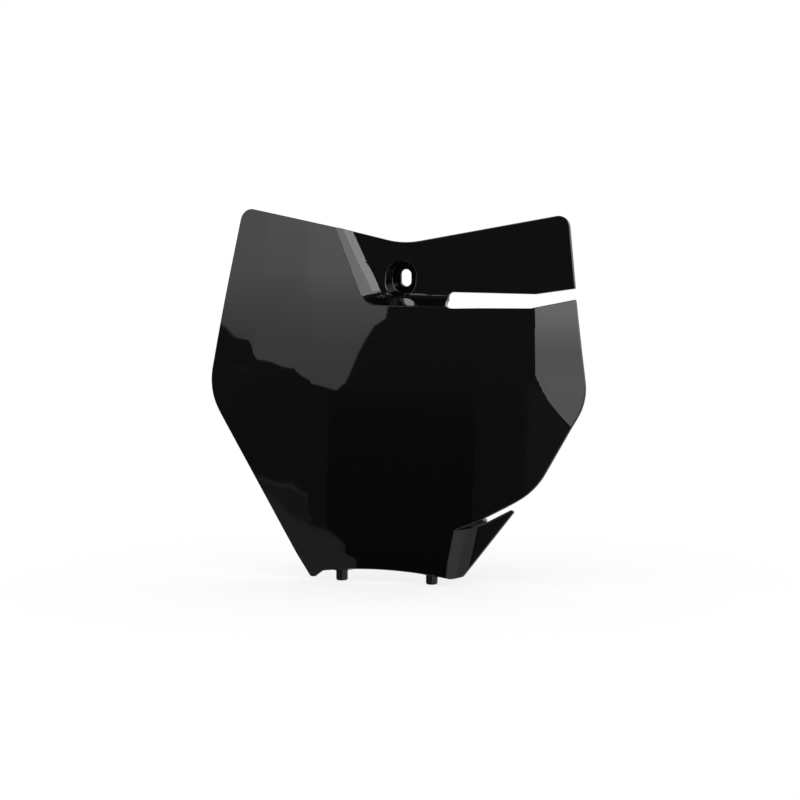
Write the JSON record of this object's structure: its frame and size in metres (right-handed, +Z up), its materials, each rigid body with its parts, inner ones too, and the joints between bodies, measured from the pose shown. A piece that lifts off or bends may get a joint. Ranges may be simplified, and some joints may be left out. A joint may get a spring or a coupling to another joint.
{
  "type": "racing number board",
  "caption": "Thin gloss moulded front number board for a motocross bike: horned shield outline, set-back band with a screw pocket, hose slot, hose ear and locating pegs.",
  "frame": {"origin": "middle of the upper screw slot, on the seat at the bottom of the screw pocket", "axes": "+X to the right as seen from the front, -Y out of the face, +Z up"},
  "size_m": [0.2569, 0.0439, 0.2374],
  "materials": {
    "gloss_black_polypropylene": "polished moulding"
  },
  "bodies": {
    "root": {"number_board": "gloss_black_polypropylene"}
  },
  "joints": []
}
